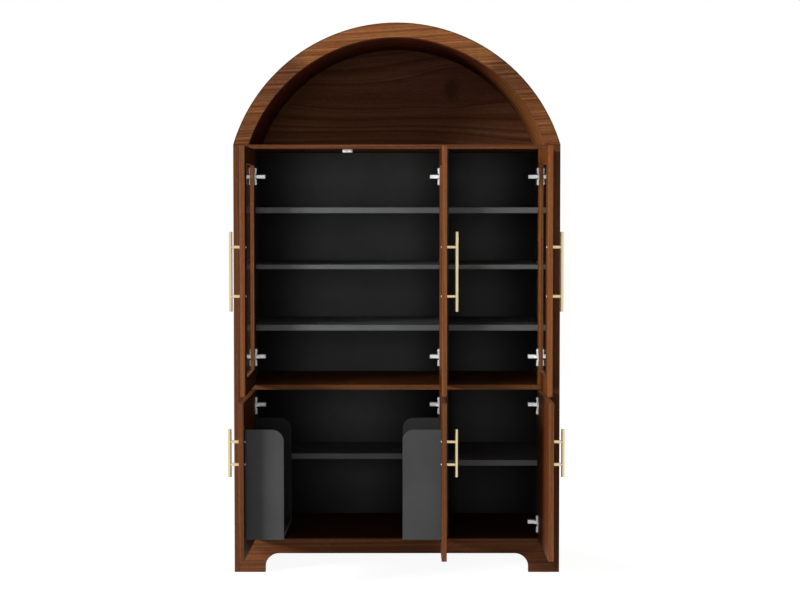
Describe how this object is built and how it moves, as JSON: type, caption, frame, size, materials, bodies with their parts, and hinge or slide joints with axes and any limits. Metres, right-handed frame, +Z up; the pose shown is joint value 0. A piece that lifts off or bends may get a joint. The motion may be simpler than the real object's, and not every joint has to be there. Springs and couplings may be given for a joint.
{
  "type": "china cabinet",
  "caption": "Arched-top display cabinet with an open niche, shelved compartments behind hinged glazed and solid doors, door racks and bar handles.",
  "frame": {"origin": "on the floor, under the middle of the box round the whole cabinet with its doors open", "axes": "+X to the right as the front is seen, +Y from the front to the back, +Z up"},
  "size_m": [1.2, 0.7978, 2.024],
  "materials": {
    "walnut": "satin lacquered walnut veneer",
    "charcoal_board": "matt charcoal lacquer on board",
    "clear_glass": "clear float glass",
    "satin_gold": "satin gold",
    "nickel": "nickel plated steel",
    "white_plastic": "white moulded plastic"
  },
  "bodies": {
    "carcass": {"side_panel_left": "walnut", "side_panel_right": "walnut", "front_stile_left": "walnut", "front_stile_right": "walnut", "inner_wall_left": "charcoal_board", "inner_wall_right": "charcoal_board", "arch_face_ring": "walnut", "arch_outer_skin": "walnut", "arch_lining": "walnut", "arch_rear_ring": "walnut", "niche_back": "walnut", "niche_board": "walnut", "mid_board": "walnut", "bottom_board": "walnut", "divider_upper": "charcoal_board", "divider_lower": "charcoal_board", "back_panel_upper": "charcoal_board", "back_panel_lower": "charcoal_board", "base_front_rail": "walnut", "base_back_rail": "walnut", "shelf_top_left": "charcoal_board", "shelf_top_right": "charcoal_board", "shelf_fixed_left": "charcoal_board", "shelf_fixed_right": "charcoal_board", "shelf_low_left": "charcoal_board", "shelf_low_right": "charcoal_board", "shelf_cupboard_left": "charcoal_board", "shelf_cupboard_right": "charcoal_board", "magnetic_catch": "white_plastic", "hinge_arm_upper_left_top": "nickel", "hinge_arm_upper_left_bottom": "nickel", "hinge_arm_upper_middle_top": "nickel", "hinge_arm_upper_middle_bottom": "nickel", "hinge_arm_upper_right_top": "nickel", "hinge_arm_upper_right_bottom": "nickel", "hinge_arm_lower_left_top": "nickel", "hinge_arm_lower_left_bottom": "nickel", "hinge_arm_lower_middle_top": "nickel", "hinge_arm_lower_middle_bottom": "nickel", "hinge_arm_lower_right_top": "nickel", "hinge_arm_lower_right_bottom": "nickel"},
    "door_upper_left": {"door_frame_upper_left": "walnut", "door_glass_upper_left": "clear_glass", "handle_upper_left": "satin_gold"},
    "door_upper_middle": {"door_frame_upper_middle": "walnut", "door_glass_upper_middle": "clear_glass", "handle_upper_middle": "satin_gold"},
    "door_upper_right": {"door_frame_upper_right": "walnut", "door_glass_upper_right": "clear_glass", "handle_upper_right": "satin_gold"},
    "door_lower_left": {"door_panel_lower_left": "walnut", "handle_lower_left": "satin_gold", "rack_left": "charcoal_board"},
    "door_lower_middle": {"door_panel_lower_middle": "walnut", "handle_lower_middle": "satin_gold", "rack_middle": "charcoal_board"},
    "door_lower_right": {"door_panel_lower_right": "walnut", "handle_lower_right": "satin_gold"}
  },
  "joints": [
    {"name": "upper_left_hinge", "type": "hinge", "parent": "carcass", "child": "door_upper_left", "pos_m": [-0.534, -0.04757, 1.129], "axis": [0, 0, -1], "range_deg": [-90, 20]},
    {"name": "upper_middle_hinge", "type": "hinge", "parent": "carcass", "child": "door_upper_middle", "pos_m": [0.17083, -0.04757, 1.129], "axis": [0, 0, 1], "range_deg": [-90, 20]},
    {"name": "upper_right_hinge", "type": "hinge", "parent": "carcass", "child": "door_upper_right", "pos_m": [0.534, -0.04757, 1.129], "axis": [0, 0, 1], "range_deg": [-90, 20]},
    {"name": "lower_left_hinge", "type": "hinge", "parent": "carcass", "child": "door_lower_left", "pos_m": [-0.534, -0.04757, 0.4005], "axis": [0, 0, -1], "range_deg": [-91, 19]},
    {"name": "lower_middle_hinge", "type": "hinge", "parent": "carcass", "child": "door_lower_middle", "pos_m": [0.17083, -0.04757, 0.4005], "axis": [0, 0, 1], "range_deg": [-90, 20]},
    {"name": "lower_right_hinge", "type": "hinge", "parent": "carcass", "child": "door_lower_right", "pos_m": [0.534, -0.04757, 0.4005], "axis": [0, 0, 1], "range_deg": [-91, 19]}
  ]
}
